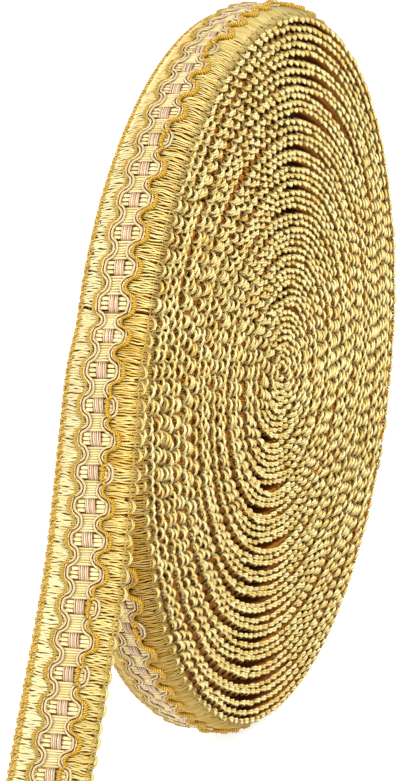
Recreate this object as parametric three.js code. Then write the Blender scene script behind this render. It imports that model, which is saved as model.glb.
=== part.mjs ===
// Gold gimp braid, wound edge to edge into a roll that stands on its rim, with the outer end
// hanging off the front of the roll and lying on the floor.
// Millimetres, +Z up. The roll's axis is Y, and the origin is the centre of its flat foot.

import * as THREE from 'three';

// The braid: its width, the thickness of one wound layer, how far its ground sits below its cords,
// and how high the middle stands over the edges in the roll, where thick cords lie on thick cords.
const BRAID_WIDTH = 20;
const LAYER = 1.9;
const GROUND_SUNK = 0.4;
const ARCH = 3.2;
const MOTIF_PITCH = 7.75;
const EDGE_SCALLOP = 0.35;

// The roll: the outer layer's radius at its edges where the loose end leaves, that place's angle
// from +X towards +Z, and the flat foot's half angle and half width.
const EDGE_RADIUS = 92;
const LEAVE_DEG = 159;
const FOOT_HALF_DEG = 8;
const FOOT_HALF_WIDTH = 7;

// The roll's two faces: a spiral of raised turns, one for every four layers of braid. The groove
// between them is shallow at the sides and deep above and below the middle, where the layers part.
const LAYERS_PER_RIDGE = 4;
const FIRST_RIDGE_IN = 2.5;
const GROOVE_AT_SIDES = 0.8;
const GROOVE_AT_TOP_AND_FOOT = 2.4;
const HEART_SUNK = 1.0;

// The loose end: its thickness, its twist about its own length, the run over which its arch goes
// flat, the clearance to the roll, and the straight runs at its two ends.
const TAIL_THICKNESS = 1.6;
const TAIL_TWIST_DEG = 12;
const ARCH_FADES = { from: 8, to: 95 };
const SEAT_GAP = 0.3;
const TANGENT_RUN = 4;
const FLOOR_RUN = 50;

// Where the edges of the loose end's outer side run, measured from the roll's axis.
const TAIL_ROUTE = [
  { out: 92.3, up: 20.0 },
  { out: 96.0, up: 5.5 },
  { out: 100.2, up: -9.5 },
  { out: 104.9, up: -24.0 },
  { out: 111.6, up: -38.5 },
  { out: 118.7, up: -52.5 },
  { out: 125.6, up: -66.2 },
];

// The braid's section: the place across it, from edge to edge, and the shares of ARCH and of
// GROUND_SUNK there. The foot's width ends on the rows at 0.7.
const SECTION = [
  { across: -1.0, arch: 0.0, sunk: 0.0 },
  { across: -0.7, arch: 0.6, sunk: 1.0 },
  { across: -0.45, arch: 0.94, sunk: 0.6 },
  { across: -0.22, arch: 1.0, sunk: 0.0 },
  { across: 0.0, arch: 1.0, sunk: 0.5 },
  { across: 0.22, arch: 1.0, sunk: 0.0 },
  { across: 0.45, arch: 0.94, sunk: 0.6 },
  { across: 0.7, arch: 0.6, sunk: 1.0 },
  { across: 1.0, arch: 0.0, sunk: 0.0 },
];

const BACK_ROWS = [...SECTION].reverse();
const HALF_WIDTH = BRAID_WIDTH / 2;
const COLUMNS = 60;
const TURN = Math.PI * 2;
const LEAVE = THREE.MathUtils.degToRad(LEAVE_DEG);
const FOOT = -Math.PI / 2;
const FOOT_HALF = THREE.MathUtils.degToRad(FOOT_HALF_DEG);

// Radius of the roll's edges after the winding has turned by this much from where the end leaves.
function edgeRadius(turned) {
  return EDGE_RADIUS - LAYER * turned / TURN;
}

const FOOT_TURNED = LEAVE - FOOT;
const AXIS_HEIGHT = (edgeRadius(FOOT_TURNED) + ARCH) * Math.cos(FOOT_HALF);

// The amount turned at a column. The columns beside the foot move to its two ends.
function turnedAt(column) {
  const turned = column * TURN / COLUMNS;
  const pastFoot = turned - FOOT_TURNED;
  const nearEnd = Math.abs(Math.abs(pastFoot) - FOOT_HALF) < TURN / COLUMNS / 2;
  return nearEnd ? FOOT_TURNED + Math.sign(pastFoot) * FOOT_HALF : turned;
}

// A point of the roll at a distance from its axis, or pressed to the floor as the foot's are.
function rollPoint(turned, radius, y, pressed = false) {
  const angle = LEAVE - turned;
  const z = AXIS_HEIGHT + radius * Math.sin(angle);
  return [radius * Math.cos(angle), y, pressed ? 0 : z];
}

// A closed surface: points are added, and faces are given by their numbers.
class Surface {
  constructor() {
    this.points = [];
    this.faces = [];
  }

  add(point) {
    this.points.push(point.map((value) => Math.round(value * 1000) / 1000));
    return this.points.length - 1;
  }

  // Triangles from the first corner of an outline to each of its other sides.
  fan(corners) {
    for (let i = 1; i + 1 < corners.length; i += 1) {
      this.faces.push([corners[0], corners[i], corners[i + 1]]);
    }
  }

  // Quads between two rows of points of equal length.
  strip(rowA, rowB) {
    for (let i = 0; i + 1 < rowA.length; i += 1) {
      this.fan([rowA[i], rowA[i + 1], rowB[i + 1], rowB[i]]);
    }
  }

  // The signed volume says whether the faces point out. If they don't, they are all turned over.
  geometry() {
    const [a, b, c] = [new THREE.Vector3(), new THREE.Vector3(), new THREE.Vector3()];
    let volume = 0;
    for (const [i, j, k] of this.faces) {
      a.fromArray(this.points[i]);
      b.fromArray(this.points[j]);
      c.fromArray(this.points[k]);
      volume += a.dot(b.cross(c));
    }
    const faces = volume > 0 ? this.faces : this.faces.map(([i, j, k]) => [i, k, j]);
    const shape = new THREE.BufferGeometry();
    shape.setAttribute('position', new THREE.Float32BufferAttribute(this.points.flat(), 3));
    shape.setIndex(faces.flat());
    shape.computeVertexNormals();
    return shape;
  }
}

// One face of the roll. A ridge line and a groove line spiral in together, a groove half a ridge
// inside its ridge, and the strips between them close the face from the outline to the heart.
function spiralFace(surface, outline, side) {
  const ridgePitch = LAYERS_PER_RIDGE * LAYER;
  const firstRadius = EDGE_RADIUS - FIRST_RIDGE_IN;
  const turns = Math.floor(firstRadius / ridgePitch) - 1;
  const last = turns * COLUMNS;
  const ridge = [];
  const groove = [];
  for (let k = 0; k <= last; k += 1) {
    const column = k % COLUMNS;
    const turned = turnedAt(column);
    const radius = firstRadius - ridgePitch * (Math.floor(k / COLUMNS) + turned / TURN);
    const upright = Math.sin(LEAVE - turned) ** 6;
    const depth = GROOVE_AT_SIDES + (GROOVE_AT_TOP_AND_FOOT - GROOVE_AT_SIDES) * upright;
    ridge.push(surface.add(rollPoint(turned, radius, side * HALF_WIDTH)));
    groove.push(surface.add(rollPoint(turned, radius - ridgePitch / 2, side * (HALF_WIDTH - depth))));
  }
  const heart = surface.add([0, side * (HALF_WIDTH - HEART_SUNK), AXIS_HEIGHT]);

  const lowStep = outline[COLUMNS];
  for (let k = 0; k < COLUMNS; k += 1) {
    if (k === 0) {
      surface.fan([outline[1], ridge[1], ridge[0], lowStep, outline[0]]);
    } else if (k < COLUMNS - 1) {
      surface.fan([outline[k], outline[k + 1], ridge[k + 1], ridge[k]]);
    } else {
      surface.fan([ridge[k], outline[k], lowStep, ridge[0], groove[0], ridge[COLUMNS]]);
    }
  }
  for (let k = 0; k < last; k += 1) {
    surface.fan([ridge[k], ridge[k + 1], groove[k + 1], groove[k]]);
  }
  for (let k = 0; k < last - COLUMNS; k += 1) {
    surface.fan([groove[k], groove[k + 1], ridge[k + COLUMNS + 1], ridge[k + COLUMNS]]);
  }
  for (let k = last - COLUMNS; k < last; k += 1) {
    surface.fan([heart, groove[k], groove[k + 1]]);
  }
  surface.fan([heart, groove[last], ridge[last], groove[last - COLUMNS]]);
}

// Everything that is wound: the rim, its one-layer step where the end leaves, and the two faces.
function rollGeometry() {
  const surface = new Surface();
  const rim = [];
  for (let column = 0; column <= COLUMNS; column += 1) {
    const turned = turnedAt(column);
    const inFoot = Math.abs(turned - FOOT_TURNED) <= FOOT_HALF + 1e-6;
    rim.push(SECTION.map(({ across, arch, sunk }) => {
      const y = across * HALF_WIDTH;
      const radius = edgeRadius(turned) + ARCH * arch - GROUND_SUNK * sunk;
      return surface.add(rollPoint(turned, radius, y, inFoot && Math.abs(y) <= FOOT_HALF_WIDTH));
    }));
  }
  for (let column = 0; column < COLUMNS; column += 1) {
    surface.strip(rim[column], rim[column + 1]);
  }
  surface.strip(rim[COLUMNS], rim[0]);

  const front = rim.map((row) => row[0]);
  const back = rim.map((row) => row[SECTION.length - 1]);
  const half = new Surface();
  half.points = surface.points;
  spiralFace(half, front, -1);
  surface.faces.push(...half.faces);
  half.faces = [];
  spiralFace(half, back, 1);
  surface.faces.push(...half.faces.map(([i, j, k]) => [i, k, j]));
  return surface.geometry();
}

// The line that the edges of the loose end's outer side follow, as x and height: off the roll
// along its tangent, down the route, round one bend, and out along the floor.
function tailLine() {
  const start = new THREE.Vector2(Math.cos(LEAVE), Math.sin(LEAVE)).multiplyScalar(EDGE_RADIUS);
  const tangent = new THREE.Vector2(-Math.sin(LEAVE), Math.cos(LEAVE));
  start.addScaledVector(tangent, SEAT_GAP);
  start.y += AXIS_HEIGHT;
  const offRoll = start.clone().addScaledVector(tangent, TANGENT_RUN);
  const route = TAIL_ROUTE.map(({ out, up }) => new THREE.Vector2(-out, AXIS_HEIGHT + up));
  const [before, end] = route.slice(-2);

  const slope = Math.atan2(before.y - end.y, before.x - end.x);
  const bend = (end.y - TAIL_THICKNESS) / (1 - Math.cos(slope));
  const centre = new THREE.Vector2(end.x - bend * Math.sin(slope), TAIL_THICKNESS + bend);
  const line = new THREE.Path();
  line.moveTo(start.x, start.y);
  line.splineThru([offRoll, ...route]);
  line.absarc(centre.x, centre.y, bend, slope - Math.PI / 2, -Math.PI / 2, true);
  line.lineTo(centre.x - FLOOR_RUN, TAIL_THICKNESS);
  return { line, hanging: line.getLength() - FLOOR_RUN };
}

// The loose end: the braid's section carried along its line, scalloped at the edges and with its
// middle band raised into one oval for each motif. It twists a little while it hangs free, and the
// arch that it has in the roll goes flat.
function tailGeometry() {
  const { line, hanging } = tailLine();
  const length = line.getLength();
  const stations = Math.round(length / (MOTIF_PITCH / 4));
  const surface = new Surface();
  const rings = [];
  for (let i = 0; i <= stations; i += 1) {
    const u = i / stations;
    const at = line.getPoint(u);
    const along = line.getTangent(u);
    const out = new THREE.Vector2(along.y, -along.x);
    const leaving = THREE.MathUtils.smoothstep(u * length, 2, 35);
    const landing = THREE.MathUtils.smoothstep(hanging - u * length, 10, 60);
    const twist = THREE.MathUtils.degToRad(TAIL_TWIST_DEG) * leaving * landing;
    const archHeight = ARCH * (1 - THREE.MathUtils.smoothstep(u * length, ARCH_FADES.from, ARCH_FADES.to));
    const waist = (1 - Math.cos(TURN * i / 4)) / 2;
    const scallop = i % 2 ? EDGE_SCALLOP : 0;
    const place = (across, raised) => {
      const y = across * (HALF_WIDTH - scallop);
      const lift = y * Math.sin(twist) + raised;
      return surface.add([at.x + out.x * lift, y * Math.cos(twist), at.y + out.y * lift]);
    };
    const front = SECTION.map(({ across, arch, sunk }) => {
      const inBand = Math.abs(across) < 0.5;
      const share = inBand ? sunk + (1 - sunk) * waist : sunk;
      return place(across, archHeight * arch - GROUND_SUNK * share);
    });
    const back = BACK_ROWS.map(({ across, arch }) => place(across, archHeight * arch - TAIL_THICKNESS));
    rings.push([...front, ...back]);
  }
  for (let i = 0; i < stations; i += 1) {
    surface.strip([...rings[i], rings[i][0]], [...rings[i + 1], rings[i + 1][0]]);
  }
  closeEnd(surface, rings[0], true);
  closeEnd(surface, rings[stations], false);
  return surface.geometry();
}

// A flat end: a strip between the section's two sides, which have the same rows across.
function closeEnd(surface, ring, turnedOver) {
  const front = ring.slice(0, SECTION.length);
  const back = ring.slice(SECTION.length).reverse();
  surface.strip(turnedOver ? back : front, turnedOver ? front : back);
}

function goldBraid(colour, roughness) {
  return new THREE.MeshStandardMaterial({ color: colour, roughness, metalness: 0.15 });
}

const roll = new THREE.Mesh(rollGeometry(), goldBraid(0xd9ae45, 0.5));
roll.name = 'roll';

const tail = new THREE.Mesh(tailGeometry(), goldBraid(0xe6c766, 0.45));
tail.name = 'tail';

const gimpBraid = new THREE.Group();
gimpBraid.add(roll, tail);

export default gimpBraid;
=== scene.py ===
import bpy
import numpy as np
from mathutils import Matrix, Vector


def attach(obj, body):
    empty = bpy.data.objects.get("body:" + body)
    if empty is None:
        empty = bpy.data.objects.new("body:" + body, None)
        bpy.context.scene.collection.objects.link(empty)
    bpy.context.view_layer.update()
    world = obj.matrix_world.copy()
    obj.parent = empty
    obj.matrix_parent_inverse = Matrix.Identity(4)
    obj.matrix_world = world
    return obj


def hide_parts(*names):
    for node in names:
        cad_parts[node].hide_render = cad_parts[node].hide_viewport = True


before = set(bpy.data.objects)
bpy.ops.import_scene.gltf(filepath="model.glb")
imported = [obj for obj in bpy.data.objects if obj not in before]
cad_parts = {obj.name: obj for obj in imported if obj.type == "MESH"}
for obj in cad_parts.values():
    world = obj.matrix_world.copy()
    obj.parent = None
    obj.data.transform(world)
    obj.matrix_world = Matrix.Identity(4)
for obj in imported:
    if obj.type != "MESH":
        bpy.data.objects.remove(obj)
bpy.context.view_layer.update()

# The camera stands low in front of the loose end and looks almost along the roll's rim, so the
# near face is seen at a grazing angle. Its place and axes are in metres, in the roll's own frame.

CAMERA_PLACE = Vector((-0.6403, -0.2457, 0.2570))
CAMERA_RIGHT = Vector((0.37629, -0.92650, 0.0))
CAMERA_UP = Vector((0.22234, 0.09030, 0.97078))
CAMERA_LENS = 124.46
CAMERA_SENSOR = 36.0

camera_data = bpy.data.cameras.new("camera")
camera_data.sensor_width = CAMERA_SENSOR
camera_data.lens = CAMERA_LENS
camera = bpy.data.objects.new("camera", camera_data)
bpy.context.scene.collection.objects.link(camera)
camera_axes = Matrix((CAMERA_RIGHT, CAMERA_UP, CAMERA_RIGHT.cross(CAMERA_UP))).transposed()
camera.matrix_world = Matrix.Translation(CAMERA_PLACE) @ camera_axes.to_4x4()
bpy.context.scene.camera = camera

# The studio: a pale round floor of lit paper that curves up into a low wall, one soft light from the
# upper left, three weaker ones from the other sides and a faint even surround.

FLOOR_RADIUS = 2.4
COVE_RADIUS = 0.6
WALL_HEIGHT = 1.6
PAPER_GLOW = 0.72
SURROUND = 0.08
ROLL_MIDDLE = Vector((0, 0, 0.09))
LIGHTS = {
    "key light": {"place": (-0.9, -1.0, 1.5), "size": 0.4, "watts": 40.0},
    "side light": {"place": (0.7, -1.3, 0.7), "size": 0.6, "watts": 3.0},
    "left light": {"place": (-1.1, 0.8, 0.8), "size": 0.6, "watts": 9.0},
    "back light": {"place": (0.3, 1.5, 1.0), "size": 0.8, "watts": 16.0},
}


class Wire:
    """A value in a finish's node tree. Arithmetic on it adds Math nodes."""

    def __init__(self, finish, socket):
        self.finish = finish
        self.socket = socket

    def math(self, operation, *values):
        inputs = dict(enumerate(values))
        return self.finish.node("ShaderNodeMath", {"operation": operation}, inputs)

    def __add__(self, other):
        return self.math("ADD", self, other)

    def __radd__(self, other):
        return self.math("ADD", other, self)

    def __sub__(self, other):
        return self.math("SUBTRACT", self, other)

    def __rsub__(self, other):
        return self.math("SUBTRACT", other, self)

    def __mul__(self, other):
        return self.math("MULTIPLY", self, other)

    def __rmul__(self, other):
        return self.math("MULTIPLY", other, self)

    def __truediv__(self, other):
        return self.math("DIVIDE", self, other)

    def __pow__(self, other):
        return self.math("POWER", self, other)

    def wave(self):
        """Half of one plus the sine, so it runs between 0 and 1."""
        return 0.5 + 0.5 * self.math("SINE", self)

    def held(self):
        """The value held between 0 and 1."""
        return self.finish.node("ShaderNodeClamp", {}, {"Value": self})


class Finish:
    """A material and the few ways in which its nodes are made."""

    def __init__(self, name):
        self.material = bpy.data.materials.new(name)
        self.material.use_nodes = True
        self.tree = self.material.node_tree
        self.shader = self.tree.nodes["Principled BSDF"]

    def node(self, kind, settings, inputs, output=0):
        """Adds a node: its settings first, then the value or link of each socket named."""
        made = self.tree.nodes.new(kind)
        for setting, value in settings.items():
            setattr(made, setting, value)
        for name, value in inputs.items():
            self.join(made.inputs[name], value)
        return Wire(self, made.outputs[output])

    def join(self, socket, value):
        """Links a wire to the socket, or sets a plain value on it."""
        if isinstance(value, Wire):
            self.tree.links.new(value.socket, socket)
        else:
            socket.default_value = value

    def blend(self, share, first, second):
        """The first colour where share is 0, and the second where it is 1."""
        settings = {"data_type": "RGBA", "clamp_factor": True}
        return self.node("ShaderNodeMix", settings, {0: share, 6: first, 7: second}, output=2)

    def attribute(self, name):
        """The number that each point of the piece carries under this name."""
        return self.node("ShaderNodeAttribute", {"attribute_name": name}, {}, output="Fac")

    def around_and_along(self):
        """The two numbers of the piece's own map: turns round a thread, and millimetres along it."""
        place = self.node("ShaderNodeUVMap", {"uv_map": "weave"}, {})
        around = self.node("ShaderNodeSeparateXYZ", {}, {"Vector": place}, output="X")
        along = self.node("ShaderNodeSeparateXYZ", {}, {"Vector": place}, output="Y")
        return around, along

    def grain(self, scale):
        """Soft noise in object space."""
        place = self.node("ShaderNodeTexCoord", {}, {}, output="Object")
        return self.node("ShaderNodeTexNoise", {}, {"Vector": place, "Scale": scale})

    def done(self, colour, roughness, height=None, depth=0.0, **constants):
        """Joins the colour, roughness and relief to the shader, and sets its constant sockets."""
        self.join(self.shader.inputs["Base Color"], colour)
        self.join(self.shader.inputs["Roughness"], roughness)
        if height is not None:
            inputs = {"Height": height, "Distance": depth, "Strength": 1.0}
            self.join(self.shader.inputs["Normal"], self.node("ShaderNodeBump", {}, inputs))
        for name, value in constants.items():
            self.shader.inputs[name.replace("_", " ")].default_value = value
        return self.material


def rgb(code):
    """A colour written as six hexadecimal digits, in linear light with full cover."""
    parts = np.array([int(code[i:i + 2], 16) / 255 for i in (0, 2, 4)])
    linear = np.where(parts <= 0.04045, parts / 12.92, ((parts + 0.055) / 1.055) ** 2.4)
    return (*linear.tolist(), 1.0)


def studio_paper():
    """Two near greys mixed by soft noise, on paper that also gives off an even light."""
    finish = Finish("studio paper")
    colour = finish.blend(finish.grain(40.0), rgb("BAB9B6"), rgb("C2C1BE"))
    finish.shader.inputs["Emission Color"].default_value = rgb("FFFFFF")
    return finish.done(colour, 0.85, Emission_Strength=PAPER_GLOW)


def make_floor():
    """One profile turned about the upright axis: flat, up a quarter circle, and up the wall."""
    rise = np.linspace(-np.pi / 2, 0, 16)
    cove = FLOOR_RADIUS + COVE_RADIUS * np.cos(rise)
    out = np.concatenate([[COVE_RADIUS], cove, [FLOOR_RADIUS + COVE_RADIUS]])
    height = np.concatenate([[0.0], COVE_RADIUS * (1 + np.sin(rise)), [WALL_HEIGHT]])
    turn = np.linspace(0, 2 * np.pi, 64, endpoint=False)
    ring = np.stack([np.cos(turn), np.sin(turn), 0 * turn], axis=-1)
    places = out[:, None, None] * ring + height[:, None, None] * np.array([0, 0, 1])
    number = np.arange(out.size * turn.size).reshape(out.size, turn.size)
    ahead = np.roll(number, -1, axis=1)
    quads = np.stack([number[:-1], number[1:], ahead[1:], ahead[:-1]], axis=-1).reshape(-1, 4)
    mesh = bpy.data.meshes.new("studio floor")
    mesh.from_pydata(places.reshape(-1, 3).tolist(), [], [number[0].tolist()] + quads.tolist())
    mesh.shade_smooth()
    mesh.materials.append(studio_paper())
    floor = bpy.data.objects.new("studio_floor", mesh)
    bpy.context.scene.collection.objects.link(floor)


make_floor()
for light_name, light in LIGHTS.items():
    lamp = bpy.data.lights.new(light_name, "AREA")
    lamp.size = light["size"]
    lamp.energy = light["watts"]
    holder = bpy.data.objects.new(light_name, lamp)
    aim = ROLL_MIDDLE - Vector(light["place"])
    turned_to = aim.to_track_quat("-Z", "Y").to_matrix().to_4x4()
    holder.matrix_world = Matrix.Translation(light["place"]) @ turned_to
    bpy.context.scene.collection.objects.link(holder)
surround = bpy.data.worlds.new("surround")
surround.use_nodes = True
surround.node_tree.nodes["Background"].inputs["Color"].default_value = (1.0, 1.0, 1.0, 1.0)
surround.node_tree.nodes["Background"].inputs["Strength"].default_value = SURROUND
bpy.context.scene.world = surround
bpy.context.scene.view_settings.view_transform = "Standard"

# The wound braid: 20 mm gimp wound on itself under a little tension, with no core, each turn one
# layer further in. Its thick middle builds up, so the roll is barrel-shaped, and above and below
# the axis the layers part here and there. Lengths from here on are in millimetres.

BRAID_WIDTH = 20.0
HALF_WIDTH = BRAID_WIDTH / 2
LAYER = 1.9
EDGE_RADIUS = 92.0
LEAVE = np.radians(159.0)
TURN = 2 * np.pi
ARCH = 3.2
FOOT_HALF = np.radians(8.0)
FOOT_TURNED = LEAVE + np.pi / 2
AXIS_HEIGHT = (EDGE_RADIUS - LAYER * FOOT_TURNED / TURN + ARCH) * np.cos(FOOT_HALF)
FOOT_SOFTNESS = 1.2
HEART_RADIUS = 3.0
SAG = 4.2
MOTIF_IN_ROLL = 8.2
RIBBON_HALF = 8.5
RIBBON_TOP = -0.95
RIBBON_THICK = 0.8
OUTER_WIDER = 0.8
RIBBON_STEPS_IN_TURN = 64
RIB_PITCH = 0.7
RIB_RELIEF = 0.0002
METRE = 0.001

# How the edges of the layers lie: paired by twos, set in, wandering by three waves of a reach, a
# rate and a start, and drawn in towards the heart.
EDGE_PAIRED = 0.32
EDGE_SET_IN = 0.35
EDGE_WANDER = ((0.22, 1.31, 1.0), (0.18, 2.17, 0.0), (0.12, 5.3, 0.0))
EDGE_AT_HEART = 0.8

# Where the layers part: the direction from the axis in degrees, the half spread of the opening, how
# many layers lie outside it, and how far it opens. The layers outside take a share that grows with
# their number, up to half, and the move fades over a few layers either way.
OUTWARD_PER_LAYER = 0.125
OUTWARD_MOST = 0.5
OUTWARD_FADES = 2.0
INWARD_FADES = 3.0
PARTINGS = [
    (80, 24, 1, 0.8), (74, 22, 3, 1.0), (74, 20, 5, 1.8), (68, 26, 7, 1.2), (58, 26, 9, 2.0),
    (74, 20, 12, 1.4), (74, 22, 16, 1.3), (78, 20, 18, 0.9), (80, 20, 21, 1.5), (84, 20, 24, 1.2),
    (90, 26, 35, 1.2), (60, 30, 38, 1.1), (-122, 30, 37, 1.3), (-104, 26, 30, 1.8),
    (-110, 24, 27, 1.6), (-98, 24, 22, 1.8), (-106, 22, 19, 1.2), (-108, 22, 17, 1.0),
    (-112, 22, 15, 1.5), (-102, 24, 13, 1.2), (-98, 22, 12, 0.8), (-108, 22, 10, 1.6),
    (-104, 24, 7, 1.4), (-100, 24, 5, 1.1), (-112, 24, 3, 1.4), (-106, 22, 2, 0.8),
]


def turned_by(arc):
    """The angle wound after a length of braid. A spiral's length after an angle t is the outer
    radius times t, less the layer's thickness over 4 pi times t squared, solved here for t."""
    loss = LAYER / (4 * np.pi)
    return (EDGE_RADIUS - np.sqrt(EDGE_RADIUS**2 - 4 * loss * np.maximum(arc, 0))) / (2 * loss)


WOUND_ANGLE = (EDGE_RADIUS - HEART_RADIUS) / LAYER * TURN
WOUND_LENGTH = EDGE_RADIUS * WOUND_ANGLE - LAYER / (4 * np.pi) * WOUND_ANGLE**2


def parting(turned, angle):
    """How far a layer stands off its plain spiral. At each opening the layers outside move out and
    those inside move in, less with each layer away and nothing beyond the opening's spread."""
    layer = np.round((turned - (LEAVE - angle) % TURN) / TURN)
    moved = np.zeros_like(turned)
    for centre, spread, outside, opening in PARTINGS:
        away = (np.degrees(angle) - centre + 180) % 360 - 180
        window = np.clip(1 - (away / spread) ** 2, 0, 1) ** 1.5
        beyond = layer - outside + 0.5
        shared_out = min(outside * OUTWARD_PER_LAYER, OUTWARD_MOST)
        outward = shared_out * np.exp(beyond / OUTWARD_FADES) * np.clip(layer / outside, 0, 1)
        inward = -(1 - shared_out) * np.exp(-beyond / INWARD_FADES)
        moved += opening * window * np.where(beyond < 0, outward, inward)
    return moved


def in_roll(arc, across, height):
    """A point of the wound braid. The radius shrinks by one layer a turn; to it are added the sag
    of the looser layers above and below the axis, the partings, the barrel's crown, which falls
    off with the cube of the place across, and the height over the braid. Points near the floor are
    pressed up softly, so the foot is flat."""
    turned = turned_by(arc)
    angle = LEAVE - turned
    radius = EDGE_RADIUS - LAYER * turned / TURN
    share = np.minimum(radius / (EDGE_RADIUS - LAYER), 1)
    sag = -4 * SAG * share * (1 - share) * np.sin(angle) ** 2
    crown = ARCH * radius / EDGE_RADIUS * (1 - np.abs(across / HALF_WIDTH) ** 3)
    radius = radius + sag + parting(turned, angle) + crown + height
    z = AXIS_HEIGHT + radius * np.sin(angle)
    z = np.where(z < FOOT_SOFTNESS, FOOT_SOFTNESS * np.exp(np.minimum(z / FOOT_SOFTNESS - 1, 0)), z)
    return np.stack(np.broadcast_arrays(radius * np.cos(angle), across, z), axis=-1)


def recess(arc):
    """How far in from the full width a layer's edge sits: a cosine of half the angle wound sets it
    in pairs, three sines let it wander, and its square draws it in towards the heart. The first
    turn comes in from the full width."""
    turned = turned_by(arc)
    paired = EDGE_PAIRED * (1 - np.cos(turned / 2 + 0.4))
    wander = sum(far * np.sin(turned * rate + start) for far, rate, start in EDGE_WANDER)
    heart = EDGE_AT_HEART * (turned / WOUND_ANGLE) ** 2
    settled = np.clip(turned / TURN, 0, 1)
    return (paired + wander + EDGE_SET_IN) * settled + heart


def make_piece(name, places, quads, caps, around_along, material, slot, **attributes):
    """Puts arrays into a mesh: points in millimetres, four-sided faces, many-sided caps, the map's
    two numbers for each corner of them in the same order, and numbers that each point carries.
    Nothing reaches below the floor."""
    places = np.maximum(places, [-np.inf, -np.inf, 0.0])
    corners = np.concatenate([quads.ravel(), caps.ravel()])
    quad_starts = np.arange(len(quads)) * 4
    cap_starts = quads.size + np.arange(len(caps)) * caps.shape[1]
    mesh = bpy.data.meshes.new(name)
    mesh.vertices.add(len(places))
    mesh.vertices.foreach_set("co", (places * METRE).astype(np.float32).ravel())
    mesh.loops.add(len(corners))
    mesh.loops.foreach_set("vertex_index", corners.astype(np.int32))
    mesh.polygons.add(len(quads) + len(caps))
    starts = np.concatenate([quad_starts, cap_starts])
    mesh.polygons.foreach_set("loop_start", starts.astype(np.int32))
    mesh.update(calc_edges=True)
    mesh.shade_smooth()
    weave = mesh.uv_layers.new(name="weave")
    weave.uv.foreach_set("vector", around_along.astype(np.float32).ravel())
    for attribute, values in attributes.items():
        layer = mesh.attributes.new(attribute, "FLOAT", "POINT")
        layer.data.foreach_set("value", values.astype(np.float32).ravel())
    mesh.materials.append(material)
    piece = bpy.data.objects.new(name, mesh)
    bpy.context.scene.collection.objects.link(piece)
    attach(piece, "root")
    return piece


def closed_band(name, places, along, material, slot):
    """A closed skin: a ring of points for each station along, with faces from ring to ring and a
    cap at each end. The map runs once round the ring, and along in millimetres."""
    stations, ring = places.shape[:2]
    number = np.arange(stations * ring).reshape(stations, ring)
    ahead = np.roll(number, -1, axis=1)
    quads = np.stack([number[:-1], ahead[:-1], ahead[1:], number[1:]], axis=-1).reshape(-1, 4)
    caps = np.stack([number[0, ::-1], number[-1]])
    corner = np.arange(ring)
    around = np.stack([corner, corner + 1, corner + 1, corner], axis=-1) / ring
    sides = np.broadcast_to(around, (stations - 1, ring, 4))
    ends = np.stack([along[:-1], along[:-1], along[1:], along[1:]], axis=-1)
    lengths = np.broadcast_to(ends[:, None, :], (stations - 1, ring, 4))
    cap_map = np.zeros((caps.size, 2))
    side_map = np.stack([sides, lengths], axis=-1).reshape(-1, 2)
    around_along = np.concatenate([side_map, cap_map])
    return make_piece(name, places.reshape(-1, 3), quads, caps, around_along, material, slot)


def ground_cloth():
    """Deep orange-gold cross threads, one rib for each, with painted shade in the groove between
    them.
    """
    finish = Finish("orange gold ground")
    _, along = finish.around_and_along()
    ribs = (along * (TURN / RIB_PITCH)).wave()
    colour = finish.blend(finish.grain(900.0), rgb("A85E18"), rgb("C28026"))
    # Painted shade: the colour darkens to deep brown in the grooves between the ribs.
    colour = finish.blend((1 - ribs) * 0.6, colour, rgb("743A06"))
    return finish.done(colour, 0.7, ribs, RIB_RELIEF, Specular_IOR_Level=0.15)


GROUND = ground_cloth()


def make_wound_ribbon():
    """The braid's ground as one long spiral band. Its section is five points across the top and
    the same below, and its stations are evenly spaced in angle. The outer turn, whose edges show
    against the light, is a little wider than the rest."""
    stations = int(WOUND_ANGLE / TURN * RIBBON_STEPS_IN_TURN)
    turned = np.linspace(0.0, WOUND_ANGLE, stations)
    arc = EDGE_RADIUS * turned - LAYER / (4 * np.pi) * turned**2
    top = np.array([1, 0.6, 0, -0.6, -1])
    across = RIBBON_HALF * np.concatenate([top, top[::-1]])
    height = RIBBON_TOP - np.repeat([0, RIBBON_THICK], len(top))
    outer = np.clip((TURN - turned) / (0.2 * TURN), 0, 1)
    inset = 1 + (OUTER_WIDER * outer - recess(arc))[:, None] / HALF_WIDTH
    arc_grid, height_grid = np.broadcast_arrays(arc[:, None], height[None, :])
    places = in_roll(arc_grid, across[None, :] * inset, height_grid)
    ribbon = closed_band("wound_ribbon", places, arc, GROUND, "wound_braid")
    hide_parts("roll")


make_wound_ribbon()

# The edge loops: the shiny weft turns back at each edge and stands out as a row of loops, so every
# layer shows on the roll's faces as a row of round beads, one for each loop. The near edge is
# cream, and the far edge a deeper gold.

LOOP_PITCH = MOTIF_IN_ROLL / 2
LOOP_SWING = np.radians(112.0)
LOOP_RUN = 0.44
LOOP_OUT = 1.5
LOOP_BACK = {-1: 1.45, 1: 1.9}
LOOP_HEIGHT = -0.75
LOOP_LEAN = -0.2
LOOP_MOST_OUT = HALF_WIDTH + 0.6
LOOP_SIZE = {-1: 1.0, 1: 1.25}
LOOP_REACH = (0, 0.6, 1)
LOOP_WIDE = (0.46, 0.32, 0.2)
LOOP_TALL = (0.72, 0.46, 0.24)
LOOP_DRIFT = 0.3
LOOP_SPREAD = (0.88, 1.1)
LOOP_JITTER = (0.18, 0.14, 0.1)
THREAD_ROUGHNESS = 0.34
THREAD_RELIEF = 0.00012
THREAD_GLEAM = "FFDC90"


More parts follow.
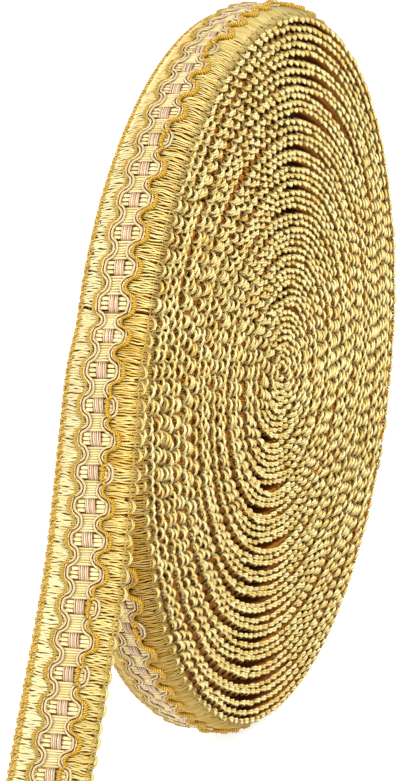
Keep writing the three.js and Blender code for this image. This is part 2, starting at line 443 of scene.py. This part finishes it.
def tubes(path, up, wide, tall, sides):
    """Closed tubes round many paths at once. path and up are arrays of tubes by points by three. At
    each point the ring is an ellipse, wide across and tall along up, square to the path. Returns
    the points, faces, caps, the corners' map and each point's share of the way along."""
    count, steps = path.shape[:2]
    along = np.gradient(path, axis=1)
    along /= np.linalg.norm(along, axis=-1, keepdims=True)
    side = np.cross(along, up)
    side /= np.linalg.norm(side, axis=-1, keepdims=True)
    lift = np.cross(side, along)
    turn = TURN * np.arange(sides) / sides
    wide = np.broadcast_to(wide, (count, steps))[..., None, None]
    tall = np.broadcast_to(tall, (count, steps))[..., None, None]
    outward = wide * np.cos(turn)[:, None] * side[:, :, None, :]
    upward = tall * np.sin(turn)[:, None] * lift[:, :, None, :]
    places = (path[:, :, None, :] + (outward + upward)).reshape(-1, 3)
    number = np.arange(count * steps * sides).reshape(count, steps, sides)
    ahead = np.roll(number, -1, axis=2)
    four = [number[:, :-1], number[:, 1:], ahead[:, 1:], ahead[:, :-1]]
    quads = np.stack(four, axis=-1).reshape(-1, 4)
    caps = np.concatenate([number[:, 0], number[:, -1, ::-1]])
    length = np.linalg.norm(np.diff(path, axis=1), axis=-1).cumsum(axis=1)
    length = np.concatenate([np.zeros((count, 1)), length], axis=1)[..., None] + np.zeros(sides)
    low, high = length[:, :-1], length[:, 1:]
    near = np.broadcast_to(np.arange(sides) / sides, low.shape)
    far = near + 1 / sides
    around = np.stack([near, near, far, far], axis=-1)
    lengths = np.stack([low, high, high, low], axis=-1)
    around_along = np.stack([around, lengths], axis=-1).reshape(-1, 2)
    around_along = np.concatenate([around_along, np.zeros((caps.size, 2))])
    reach = np.broadcast_to(np.linspace(0, 1, steps)[None, :, None], (count, steps, sides))
    return places, quads, caps, around_along, reach


def make_threads(name, path, up, wide, tall, sides, material, slot, tint):
    """Tubes round many paths as one piece, each with its own tint."""
    places, quads, caps, around_along, reach = tubes(path, up, wide, tall, sides)
    tints = np.broadcast_to(np.asarray(tint)[:, None, None], reach.shape)
    return make_piece(name, places, quads, caps, around_along, material, slot,
                      reach=reach, tint=tints)


def on_surface(surface, along, across, height):
    """Points on a surface function of along, across and height, and the way that is up there."""
    place = surface(along, across, height)
    up = surface(along, across, height + 0.5) - surface(along, across, height - 0.5)
    return place, up / np.linalg.norm(up, axis=-1, keepdims=True)


def shiny_thread(name, pale, deep, shade, strands=4, lay=12.0, groove=0.6, ends=0.8, fade=2.0,
                 flanks=0.0, gloss=0.75):
    """Rayon thread: pale or deeper from thread to thread, with fine strands that wind round it once
    in strands times lay millimetres. Painted shade darkens the grooves between strands, its two ends
    where they go down into the braid, and its flanks: not its top, half its sides, all its underside."""
    finish = Finish(name)
    around, along = finish.around_and_along()
    reach = finish.attribute("reach")
    winding = ((around * strands + along / lay - 0.25) * TURN).wave()
    colour = finish.blend(finish.attribute("tint"), rgb(pale), rgb(deep))
    # Painted shade: darker towards the shade colour in the grooves between the strands.
    colour = finish.blend((1 - winding) ** 2.0 * groove, colour, rgb(shade))
    middle = (reach * (1 - reach) * 4).held()
    # Painted shade: darker towards both ends, where the thread goes down into the braid.
    colour = finish.blend(((1 - middle) ** fade) * ends, colour, rgb(shade))
    # Painted shade: half dark at the sides of the thread and fully dark at its underside.
    colour = finish.blend(((around + 0.5) * TURN).wave() * flanks, colour, rgb(shade))
    finish.shader.inputs["Specular Tint"].default_value = rgb(THREAD_GLEAM)
    return finish.done(colour, THREAD_ROUGHNESS, winding, THREAD_RELIEF, Specular_IOR_Level=gloss)


NEAR_LOOP_THREAD = shiny_thread("cream loop thread", "FFF0A6", "DCB858", "3C2402",
                                strands=3, lay=3.5, groove=0.6, ends=1.4, fade=0.8)
FAR_LOOP_THREAD = shiny_thread("gold loop thread", "F0D284", "C89E46", "442A04",
                               lay=3.5, groove=0.4, ends=1.2, fade=1.0, gloss=0.12)
randoms = np.random.default_rng(7)


def loop_middles():
    """The places of the wound loops along the braid: evenly spaced, plus a random drift that comes
    in over the second turn, so that the layers fall out of step."""
    even = np.arange(LOOP_PITCH / 2, WOUND_LENGTH - LOOP_PITCH, LOOP_PITCH)
    drift = np.cumsum(randoms.normal(0, LOOP_DRIFT, len(even)))
    drift = drift - np.linspace(0, drift[-1], len(even))
    return even + drift * np.clip(turned_by(even) / TURN - 0.5, 0, 1)


LOOP_MIDDLES = loop_middles()


def loop_paths(surface, middles, pitch, side, edge, steps):
    """One loop for each middle: most of an ellipse lying in the braid, its tip out over the edge.
    It runs a pitch along and 2 mm in, and leans by a sine of the swing, so that each tip shows as
    a round bead beside its neighbours. The far edge's loops stand out less."""
    swing = np.linspace(-LOOP_SWING, LOOP_SWING, steps)
    jitter = randoms.normal(0.0, 1.0, (3, len(middles), 1)) * np.array(LOOP_JITTER)[:, None, None]
    along = middles[:, None] + LOOP_RUN * pitch * np.sin(swing) + jitter[0]
    out = edge[:, None] - LOOP_BACK[side] + LOOP_OUT * np.cos(swing) + jitter[1]
    height = LOOP_HEIGHT + LOOP_LEAN * np.sin(swing) + jitter[2]
    return on_surface(surface, along, side * np.minimum(out, LOOP_MOST_OUT), height)


def make_edge_loops():
    """Loops along both edges of all the wound braid. Each edge is two pieces, the outer half of
    the loops and the inner half. A loop is thickest at its tip and thins to its two ends."""
    edge = HALF_WIDTH - recess(LOOP_MIDDLES)
    kinds = ((-1, 7, 5, NEAR_LOOP_THREAD, "near"), (1, 5, 4, FAR_LOOP_THREAD, "far"))
    for side, steps, sides, thread, word in kinds:
        for part, chosen in enumerate(np.array_split(np.arange(len(LOOP_MIDDLES)), 2)):
            middles = LOOP_MIDDLES[chosen]
            path, up = loop_paths(in_roll, middles, LOOP_PITCH, side, edge[chosen], steps)
            reach = np.abs(np.linspace(-1, 1, steps))
            size = randoms.uniform(*LOOP_SPREAD, (len(chosen), 1)) * LOOP_SIZE[side]
            wide = size * np.interp(reach, LOOP_REACH, LOOP_WIDE)
            tall = size * np.interp(reach, LOOP_REACH, LOOP_TALL)
            tint = randoms.beta(1.4, 2.0, len(chosen))
            name = f"{word}_edge_loops_{part + 1}"
            make_threads(name, path, up, wide, tall, sides, thread, "wound_braid", tint)


make_edge_loops()

BINDER_REACH = 0.7
BINDER_BACK = 1.9
BINDER_LOW = -1.5
BINDER_RISE = 1.3
BINDER_JITTER = (0.2, 0.15)
BINDER_RADIUS = 0.26

BINDER_THREAD = shiny_thread("olive binding thread", "C8A24C", "8E6622", "3A2404")


def make_near_binders():
    """Short threads that lie slanted between one near loop and the next: each runs out from under
    one loop and up over the foot of the other."""
    middles = (LOOP_MIDDLES[1:] + LOOP_MIDDLES[:-1]) / 2
    u = np.linspace(0, 1, 3)[None, :]
    jitter = randoms.normal(0.0, 1.0, (2, len(middles), 1)) * np.array(BINDER_JITTER)[:, None, None]
    along = middles[:, None] + BINDER_REACH * (2 * u - 1) + jitter[0]
    root = HALF_WIDTH - recess(middles)[:, None] - BINDER_BACK
    out = root + LOOP_OUT * np.sin(u * np.pi / 2) + jitter[1]
    path, up = on_surface(in_roll, along, -out, BINDER_LOW + BINDER_RISE * u)
    tint = randoms.random(len(middles))
    make_threads("near_binders", path, up, BINDER_RADIUS, BINDER_RADIUS, 4, BINDER_THREAD,
                 "wound_braid", tint)


make_near_binders()

# The loose end: the last stretch of the same braid, which leaves the front of the roll, twists a
# little, hangs to the floor and lies on it. Its cloth is the ribbed ground that all the cords are
# sewn to, plain on the back. With its edge loops it is 20 mm wide.

TAIL_THICKNESS = 1.6
TAIL_TWIST = np.radians(12.0)
TWIST_STARTS = (2, 35)
TWIST_ENDS = (10, 60)
ARCH_FADES = (8.0, 95.0)
TAIL_CLOTH_HALF = 9.0
SEAT_GAP = 0.3
TANGENT_RUN = 4.0
FLOOR_RUN = 50.0
TAIL_CLOTH_TOP = -0.95
MOTIF_ON_TAIL = 7.72
LEAVES_AT = 0.16

# Where the edges of the loose end run: out from the axis towards the front, and up from the axis.
TAIL_ROUTE = [
    (92.3, 20.0), (96.0, 5.5), (100.2, -9.5), (104.9, -24.0), (111.6, -38.5), (118.7, -52.5),
    (125.6, -66.2),
]


def through(points, steps=40):
    """A smooth line through points: each stretch is a cubic whose ends run at half the step from
    the point before to the point after."""
    before = np.concatenate([points[:1], points[:-1]])[:-1]
    after = np.concatenate([points[1:], points[-1:]])[1:]
    first, last = points[:-1], points[1:]
    leaving, arriving = (last - before) / 2, (after - first) / 2
    t = np.linspace(0, 1, steps, endpoint=False)[None, :, None]
    first, last, leaving, arriving = (a[:, None, :] for a in (first, last, leaving, arriving))
    line = first + leaving * t + (3 * (last - first) - 2 * leaving - arriving) * t**2
    line = line + (2 * (first - last) + leaving + arriving) * t**3
    return np.concatenate([line.reshape(-1, 2), points[-1:]])


def tail_line():
    """The line of the loose end's edges as x and z: off the roll along its tangent, down the route,
    round one bend that meets the floor flat, and out along the floor."""
    tangent = np.array([-np.sin(LEAVE), np.cos(LEAVE)])
    start = EDGE_RADIUS * np.array([np.cos(LEAVE), np.sin(LEAVE)]) + SEAT_GAP * tangent
    route = np.array(TAIL_ROUTE) * [-1, 1]
    hung = through(np.concatenate([[start, start + TANGENT_RUN * tangent], route])) + [0, AXIS_HEIGHT]
    fall = route[-2] - route[-1]
    slope = np.arctan2(fall[1], fall[0])
    bend = (hung[-1, 1] - TAIL_THICKNESS) / (1 - np.cos(slope))
    centre = np.array([hung[-1, 0] - bend * np.sin(slope), TAIL_THICKNESS + bend])
    turn = np.linspace(slope - np.pi / 2, -np.pi / 2, 80)[1:, None]
    bent = centre + bend * np.concatenate([np.cos(turn), np.sin(turn)], axis=1)
    run = np.linspace(0, FLOOR_RUN, 30)[1:, None]
    return np.concatenate([hung, bent, bent[-1] - run * [1, 0]])


TAIL_LINE = tail_line()
TAIL_STEPS = np.concatenate([[0], np.linalg.norm(np.diff(TAIL_LINE, axis=0), axis=1).cumsum()])
TAIL_LENGTH = TAIL_STEPS[-1]


def smooth_step(value, low, high):
    """From 0 at low to 1 at high, level at both: three times the square less twice the cube."""
    share = np.clip((value - low) / (high - low), 0, 1)
    return share * share * (3 - 2 * share)


def on_tail(along, across, height):
    """A point of the loose end: its line, moved out by the twist's lift, the crown, which fades
    along it, and the height over the braid, and moved across by the rest of the twist."""
    held = np.clip(along, 0, TAIL_LENGTH)
    behind = np.clip(along - 0.5, 0, TAIL_LENGTH - 1)
    line_x, line_z = TAIL_LINE.T
    step_x = np.interp(behind + 1, TAIL_STEPS, line_x) - np.interp(behind, TAIL_STEPS, line_x)
    step_z = np.interp(behind + 1, TAIL_STEPS, line_z) - np.interp(behind, TAIL_STEPS, line_z)
    length = np.hypot(step_x, step_z)
    along_x, along_z = step_x / length, step_z / length
    hanging = TAIL_LENGTH - FLOOR_RUN
    twisted = smooth_step(along, *TWIST_STARTS) * smooth_step(hanging - along, *TWIST_ENDS)
    twist = TAIL_TWIST * twisted
    crown = ARCH * (1 - smooth_step(along, *ARCH_FADES)) * (1 - np.abs(across / HALF_WIDTH) ** 3)
    lift = across * np.sin(twist) + crown + height
    x = np.interp(held, TAIL_STEPS, line_x) + along_x * (along - held) + along_z * lift
    z = np.interp(held, TAIL_STEPS, line_z) + along_z * (along - held) - along_x * lift
    return np.stack(np.broadcast_arrays(x, across * np.cos(twist), z), axis=-1)


def on_braid(motif, across, height):
    """A point of the whole braid. Motifs are counted along it, whole at the middle of each oval;
    those past LEAVES_AT are on the loose end, and the rest are wound."""
    past = motif - LEAVES_AT
    wound = in_roll(np.maximum(-past, 0) * MOTIF_IN_ROLL, across, height)
    loose = on_tail(np.maximum(past, 0) * MOTIF_ON_TAIL, across, height)
    return np.where(np.broadcast_to(past < 0, wound.shape[:-1])[..., None], wound, loose)


def make_tail_cloth():
    """A thin closed band on the tail's surface: nine points across its face, nine on its back."""
    along = np.linspace(0, TAIL_LENGTH, int(TAIL_LENGTH))
    row = np.linspace(-TAIL_CLOTH_HALF, TAIL_CLOTH_HALF, 9)
    across = np.concatenate([row, row[::-1]])
    height = np.repeat([TAIL_CLOTH_TOP, -TAIL_THICKNESS], len(row))
    places = on_tail(along[:, None], across[None, :], height[None, :])
    return closed_band("tail_cloth", places, along, GROUND, "loose_braid")


tail_cloth = make_tail_cloth()
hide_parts("tail")

# The weft: shiny threads across the braid, packed side by side in a strip along each edge. They
# fan out from the waists between the ovals, cream on the far strip and yellower on the near one.

WEFT_IN_MOTIF = 14
WAIST_SLOT = 0.05
WEFT_FAN = 0.05
WEFT_GATHER = 0.034
WEFT_TAPER = {"wound": 0.32, "loose": 0.18}
WEFT_START = 2.5
WEFT_RUN = 6.9
WEFT_WIDE = {1: 0.34, -1: 0.28}
WEFT_TALL = 0.28
WEFT_HEIGHT = -0.8
WEFT_BOW = 0.36
WEFT_BOW_TURN = 0.85 * np.pi
WEFT_WANDER = 0.018
WEFT_WAVES = 1.8
LOOP_PLACE = LEAVES_AT - 0.25

# How the weft deepens in colour: from thread to thread, on the loose end until it fades out over
# the last four motifs before LOOSE_UNTIL, and on the roll over the motifs past the one given.
LOOSE_UNTIL = 9.5
LOOSE_OVER = 4
WEFT_DEEPER = {
    1: {"spread": 0.35, "loose": 0.15, "wound": 0.65, "from": 3, "over": 7},
    -1: {"spread": 0.8, "loose": 0.3, "wound": 0.45, "from": 36, "over": 12},
}
FIRST_WOUND = LEAVES_AT - (EDGE_RADIUS * TURN - LAYER * np.pi) / MOTIF_IN_ROLL
LAST_LOOSE = LEAVES_AT + TAIL_LENGTH / MOTIF_ON_TAIL
RUNS = {
    "wound": (FIRST_WOUND, LEAVES_AT, "wound_braid"),
    "loose": (LEAVES_AT, LAST_LOOSE, "loose_braid"),
}

# The threads' places in a motif keep clear of the waist, where a dark slot shows.
WEFT_SHARES = np.linspace(-0.5 + WAIST_SLOT, 0.5 - WAIST_SLOT, WEFT_IN_MOTIF)


def add_threads(name, run, motif, across, height, wide, tall, sides, material, tint=None, beside=0.0):
    """Threads whose paths are given in motifs along, millimetres across and height over the braid,
    moved sideways by beside. Each has a tint of its own unless one is given."""
    motif, across, height = np.broadcast_arrays(motif, across, height)
    path, up = on_surface(on_braid, motif, across, height)
    if np.any(beside):
        side = np.cross(np.gradient(path, axis=1), up)
        path = path + beside * side / np.linalg.norm(side, axis=-1, keepdims=True)
    if tint is None:
        tint = randoms.beta(1.3, 1.6, len(path))
    piece = make_threads(f"{run}_{name}", path, up, wide, tall, sides, material, RUNS[run][2], tint)
    run == "loose"


def places_in(run, shares):
    """The motif places in a run at the given shares of each motif."""
    first, last, _ = RUNS[run]
    whole = np.arange(np.floor(first) - 1, np.ceil(last) + 1)
    places = (whole[:, None] + np.asarray(shares)[None, :]).ravel()
    return places[(places > first) & (places < last)]


FAR_WEFT = shiny_thread("cream weft thread", "F6EEBC", "C8A042", "6E5010",
                        strands=2, groove=0.3, ends=0.4, flanks=0.6)
NEAR_WEFT = shiny_thread("yellow weft thread", "F6E69C", "CAA03E", "4E3404",
                         strands=2, groove=0.4, ends=0.55, flanks=0.95)


def make_weft():
    """Each thread runs from under the cords to the edge, bowed up in the middle and thinner
    outwards. A sine of its place in the motif draws its inner end towards the nearest waist, and a
    sine of twice that draws its outer end towards the middle of the nearest loop, so the threads
    end in fingers."""
    u = np.linspace(0, 1, 7)[None, :]
    for run in RUNS:
        for side, thread, word in ((1, FAR_WEFT, "far"), (-1, NEAR_WEFT, "near")):
            start = places_in(run, WEFT_SHARES)[:, None]
            start = start + randoms.normal(0, 0.008, start.shape)
            wander = WEFT_WANDER * np.sin(TURN * (WEFT_WAVES * u + randoms.random(start.shape)))
            motif = start + WEFT_FAN * np.sin(TURN * start) * (1 - u) + wander
            motif = motif - WEFT_GATHER * np.sin(2 * TURN * (start - LOOP_PLACE)) * u**2
            across = side * (WEFT_START + WEFT_RUN * u)
            height = WEFT_HEIGHT + WEFT_BOW * np.sin(WEFT_BOW_TURN * u)
            height = height + randoms.normal(0, 0.03, start.shape)
            deeper = WEFT_DEEPER[side]
            tint = randoms.beta(1.3, 1.6, len(start)) * deeper["spread"]
            if run == "loose":
                before = (LOOSE_UNTIL - start[:, 0]) / LOOSE_OVER
                tint = tint + deeper["loose"] * np.clip(before, 0, 1)
            past = (-start[:, 0] - deeper["from"]) / deeper["over"]
            tint = tint + deeper["wound"] * np.clip(past, 0, 1)
            wide = WEFT_WIDE[side] * (1 - WEFT_TAPER[run] * u)
            add_threads(f"{word}_weft", run, motif, across, height, wide, WEFT_TALL, 4, thread, tint)


make_weft()

# The waved cords: on each side of the middle a pair of pale twisted strands, with a thin dark
# thread between them as painted shade in their groove. The pairs mirror each other, and open into
# an oval and close to a waist by turns.

TWIN_MIDDLE = 2.8
TWIN_WAVE = {1: 1.08, -1: 1.32}
TWIN_APART = 0.41
TWIN_CURL = 0.04
TWIN_FULL = {1: 0.2, -1: 0.3}
TWIN_OPENS = 0.38
TWIN_RADIUS = 0.33
TWIN_HEIGHT = -0.1
GROOVE_SHADE_HEIGHT = -0.16
GROOVE_SHADE_SIZE = (0.16, 0.18)
STEPS_IN_MOTIF = 18

TWIN_STRAND = shiny_thread("pale twin strand", "E8D4A6", "C0A06C", "503410",
                           strands=2, lay=2.2, groove=0.4, ends=0.0, flanks=0.85)
# Painted shade: a thin dark thread laid in the groove between the two pale strands.
GROOVE_SHADE_THREAD = shiny_thread("painted groove shade", "4A2A0C", "341C08", "2A1606", ends=0.0)


def opened(motif):
    """How much further apart the pairs run where the braid hangs slack: more with each motif down
    the loose end, up to the tenth."""
    return TWIN_OPENS * np.clip((motif - 3) / 7, 0, 1)


def twin_across(motif, side):
    """How far from the middle a pair runs: a mean and a cosine, once a motif, filled out between
    the ovals' middles and the waists by the squared sine, so that the ovals are fuller."""
    turn = TURN * motif
    wave = TWIN_WAVE[side] * (np.cos(turn) + TWIN_FULL[side] * np.sin(turn) ** 2)
    return TWIN_MIDDLE + opened(motif) + wave


def curled(motif):
    """Moves a place along the braid by the sine of twice its turn, so that the waves bend round
    more tightly than a cosine at the waists and at the ovals."""
    return motif + TWIN_CURL * np.sin(2 * TURN * motif)


def make_twin_cords():
    """Each pair is two strands side by side along the wave, with a thin dark thread between them
    as painted shade in their groove.
    """
    for run, (first, last, _) in RUNS.items():
        motif = np.linspace(first, last, int((last - first) * STEPS_IN_MOTIF) + 1)[None, :]
        for side, word in ((1, "far"), (-1, "near")):
            across = side * twin_across(motif, side)
            for beside, strand in ((-TWIN_APART, "left"), (TWIN_APART, "right")):
                add_threads(f"{word}_twin_{strand}", run, curled(motif), across, TWIN_HEIGHT,
                            TWIN_RADIUS, TWIN_RADIUS, 6, TWIN_STRAND, tint=[0.4], beside=beside)
            # Painted shade in the groove between the strands, as a thin dark thread.
            add_threads(f"{word}_twin_core", run, curled(motif), across, GROOVE_SHADE_HEIGHT,
                        *GROOVE_SHADE_SIZE, 4, GROOVE_SHADE_THREAD, tint=[0.5])


make_twin_cords()

# The gold cords: one deep golden crimped cord outside each pair, couched down with it. On the near
# side it crosses inside the pair at some ovals, over it at the waists before and after.

GOLD_WIDE = 0.4
CRIMPS_IN_MOTIF = 9
CRIMP_DEPTH = 0.18
GOLD_FULLER = 0.2
GOLD_ZIGZAG = 0.09
GOLD_HEIGHT = 0.1
GOLD_OVER_PAIR = 0.3
GOLD_CLOSE = 0.6
CROSSED_LINE = TWIN_MIDDLE - 0.4

# For each side: how far the cord runs outside its pair, how much of that swings with the wave, and
# how thick it is. Then the ovals, counted from the roll's front, where the near one crosses inside.
GOLD_BESIDE = {1: (1.1, -0.3, 0.45), -1: (1.2, 0.05, 0.88)}
CROSSED = (
    3, 5, 9, 11, 14, 17, 20, 24, -5, -9, -14, -19, -22, -28, -33, -37, -44, -49, -53, -60, -66,
)

NEAR_GOLD = shiny_thread("deep gold crimped cord", "E6B83A", "C0901E", "5A3806",
                         strands=2, lay=0.55, groove=0.9, ends=0.0, flanks=0.6)
FAR_GOLD = shiny_thread("pale gold crimped cord", "D4AE44", "A88224", "4E3806",
                        strands=2, lay=0.55, groove=0.8, ends=0.0, flanks=0.5)


def make_gold_cords():
    """The cord's radius swells and narrows by a sine, once a crimp, and is fuller at the ovals, and
    a sine of half that rate moves it from side to side. It runs beside the pair, a little further
    from it or nearer to it at the ovals than at the waists, and inside it at a crossed oval, and
    it rises over the pair where the two come close."""
    for run, (first, last, _) in RUNS.items():
        steps = int((last - first) * CRIMPS_IN_MOTIF * 3) + 1
        motif = np.linspace(first, last, steps)[None, :]
        fuller = 1 + GOLD_FULLER * np.cos(TURN * motif)
        crimp = fuller * (1 + CRIMP_DEPTH * np.sin(TURN * CRIMPS_IN_MOTIF * motif))
        for side, cord, word in ((1, FAR_GOLD, "far"), (-1, NEAR_GOLD, "near")):
            pair = twin_across(motif, side)
            beside, swing, thick = GOLD_BESIDE[side]
            across = pair + beside + swing * np.cos(TURN * motif)
            if side < 0:
                inside = np.clip(0.8 + 0.8 * np.cos(TURN * motif), 0, 1)
                crossed = np.isin(np.round(motif), CROSSED) * inside
                across = across + crossed * (CROSSED_LINE - across)
            close = np.exp(-((across - pair) / GOLD_CLOSE) ** 2)
            zigzag = GOLD_ZIGZAG * np.sin(TURN * CRIMPS_IN_MOTIF / 2 * motif)
            height = GOLD_HEIGHT + GOLD_OVER_PAIR * close
            add_threads(f"{word}_gold_cord", run, curled(motif), side * (across + zigzag), height,
                        GOLD_WIDE * crimp, thick * crimp, 6, cord, tint=[0.4])


make_gold_cords()

# The ovals: five lengthwise floats of rose and cream thread in the middle of each, three cream
# rungs on either side of them with the ground between, two rust knots inside the far cord, and
# pale threads side by side across each waist.

FLOATS_IN_OVAL = 5
FLOAT_PITCH = 0.5
FLOAT_HALF = 0.235
FLOAT_LEAN = 0.28
RUNG_SHARES = (-0.13, 0.0, 0.13)
RUNG_START = 1.2
RUNG_RUN = 2.2
WAIST_SHARES = (0.27, 0.35, 0.43, 0.5, 0.57, 0.65, 0.73)
KNOT_SHARES = (-0.09, 0.09)
KNOT_LINE = 3.05
FLOAT_SIZE = (0.25, 0.24)
RUNG_SIZE = (0.52, 0.3)
WAIST_SIZE = (0.36, 0.24)
KNOT_SIZE = (0.24, 0.24)

FLOAT_THREAD = shiny_thread("rose and cream float", "ECDABC", "CEA888", "643A24",
                            strands=2, groove=0.4, ends=0.7, flanks=0.5)
RUNG_THREAD = shiny_thread("cream rung thread", "F4E6B4", "DCC484", "7C5C20",
                           strands=4, groove=0.3, ends=0.6, flanks=0.4)
WAIST_THREAD = shiny_thread("pale waist thread", "ECDEAC", "D2BC7A", "7A6020",
                            strands=2, groove=0.4, ends=0.5, flanks=0.4)
RUST_THREAD = shiny_thread("rust knot thread", "C07A30", "8E4C14", "3A1804", ends=0.5)


def bowed(u, ends, rise):
    """The height of a thread bowed up in the middle, where u is 0: its ends' height and a cosine."""
    return ends + rise * np.cos(u * np.pi / 2)


def make_ovals():
    """The floats run along the braid and lean a little, rose and cream by turns. The rungs, waist
    threads and knots run across it, and the rungs are bowed up by a sine of the way along them."""
    for run in RUNS:
        ovals = places_in(run, (0.0,))
        u = np.linspace(-1, 1, 7)[None, :]
        middle = np.repeat(ovals, FLOATS_IN_OVAL)[:, None]
        lane = np.tile(np.arange(FLOATS_IN_OVAL) - FLOATS_IN_OVAL // 2, len(ovals))[:, None]
        across = lane * FLOAT_PITCH - FLOAT_LEAN * u + randoms.normal(0, 0.04, lane.shape)
        tint = np.where(lane % 2 == 0, 0.85, 0.25).ravel() + randoms.normal(0, 0.1, lane.size)
        add_threads("rose_floats", run, middle + FLOAT_HALF * u, across, bowed(u, -0.62, 0.42),
                    *FLOAT_SIZE, 5, FLOAT_THREAD, tint=np.clip(tint, 0, 1))
        u = np.linspace(0, 1, 5)[None, :]
        rungs = places_in(run, RUNG_SHARES)[:, None]
        for side, word in ((1, "far"), (-1, "near")):
            across = side * (RUNG_START + (RUNG_RUN + opened(rungs)) * u)
            height = -0.72 + 0.2 * np.sin(np.pi * u)
            add_threads(f"{word}_rungs", run, rungs + 0.03 * side * u, across, height,
                        *RUNG_SIZE, 5, RUNG_THREAD)
        waists = places_in(run, WAIST_SHARES)[:, None]
        u = np.linspace(-1, 1, 5)[None, :]
        across = u * (twin_across(waists, 1) - 0.1)
        add_threads("waist_threads", run, waists + 0.035 * u, across, bowed(u, -0.66, 0.15),
                    *WAIST_SIZE, 5, WAIST_THREAD)
        u = np.linspace(-1, 1, 4)[None, :]
        knots = places_in(run, KNOT_SHARES)[:, None]
        add_threads("rust_knots", run, knots + 0.05 * u, KNOT_LINE, bowed(u, -0.55, 0.15),
                    *KNOT_SIZE, 5, RUST_THREAD)


make_ovals()

# The edges: a thin stitched thread holds the weft just inside each edge, and it is thicker along
# the loose end's near edge. The far edge has an ochre chain of two threads that cross and recross,
# with a tie over it at each oval and waist. The loose end has its loops along both edges.

STITCH_LINE = 8.4
STITCHES_IN_MOTIF = 4
STITCH_SWING = 0.12
STITCH_HEIGHT = -0.5
STITCH_LIFT = 0.16
STITCH_RADIUS = 0.2
LOOSE_STITCH_RADIUS = 0.32
CHAIN_LINE = 8.95
CHAIN_SWING = 0.62
CHAIN_HEIGHT = -0.42
CHAIN_LIFT = 0.24
CHAIN_SIZE = (0.4, 0.36)
TIE_RADIUS = 0.3
LOOSE_LOOP_INSET = 0.35
LOOSE_LOOP_STEPS = 9
LOOSE_LOOP_REACH = (-1, -0.5, 0, 0.5, 1)
LOOSE_LOOP_THICK = (0.22, 0.34, 0.4, 0.34, 0.22)

STITCH_THREAD = shiny_thread("olive stitched thread", "DCB850", "A8822A", "4E3808",
                             strands=2, lay=0.9, groove=0.8, ends=0.0, flanks=0.3)
CHAIN_THREAD = shiny_thread("ochre chain thread", "DEB850", "AA7E22", "4A3406",
                            strands=2, lay=1.0, groove=0.8, ends=0.0, flanks=0.4)


def make_edges():
    """The stitched thread rises and dips by a sine, once a stitch. The chain's two threads swing
    across by a sine of opposite sign, twice a motif, and pass over each other by its cosine."""
    for run, (first, last, _) in RUNS.items():
        motif = np.linspace(first, last, int((last - first) * 16) + 1)[None, :]
        pull = np.sin(TURN * STITCHES_IN_MOTIF * motif)
        for side, word in ((1, "far"), (-1, "near")):
            across = side * (STITCH_LINE + STITCH_SWING * np.sin(TURN * 2 * motif))
            thick = LOOSE_STITCH_RADIUS if run == "loose" and side < 0 else STITCH_RADIUS
            add_threads(f"{word}_stitches", run, motif, across, STITCH_HEIGHT + STITCH_LIFT * pull,
                        thick, thick, 4, STITCH_THREAD, tint=[0.5])
        motif = np.linspace(first, last, int((last - first) * 12) + 1)[None, :]
        for twist, word in ((1, "left"), (-1, "right")):
            across = CHAIN_LINE + CHAIN_SWING * twist * np.sin(TURN * 2 * motif)
            height = CHAIN_HEIGHT + CHAIN_LIFT * twist * np.cos(TURN * 2 * motif)
            add_threads(f"far_chain_{word}", run, motif, across, height,
                        *CHAIN_SIZE, 5, CHAIN_THREAD, tint=[0.4])
        ties = places_in(run, (0.0, 0.5))[:, None]
        u = np.linspace(-1, 1, 5)[None, :]
        add_threads("far_ties", run, ties + 0.03 * u, CHAIN_LINE - 0.1 + u, bowed(u, -0.5, 0.45),
                    TIE_RADIUS, TIE_RADIUS, 5, CHAIN_THREAD)
    pitch = MOTIF_ON_TAIL / 2
    middles = np.arange(pitch / 2, TAIL_LENGTH - pitch, pitch)
    for side, thread, word in ((-1, NEAR_LOOP_THREAD, "near"), (1, FAR_LOOP_THREAD, "far")):
        edge = np.full(len(middles), HALF_WIDTH - LOOSE_LOOP_INSET)
        path, up = loop_paths(on_tail, middles, pitch, side, edge, LOOSE_LOOP_STEPS)
        reach = np.linspace(-1, 1, LOOSE_LOOP_STEPS)
        thick = np.interp(reach, LOOSE_LOOP_REACH, LOOSE_LOOP_THICK)
        tint = 0.3 + 0.6 * randoms.beta(1.4, 1.8, len(middles))
        name = f"loose_{word}_loops"
        piece = make_threads(name, path, up, thick, thick, 6, thread, "loose_braid", tint)


make_edges()
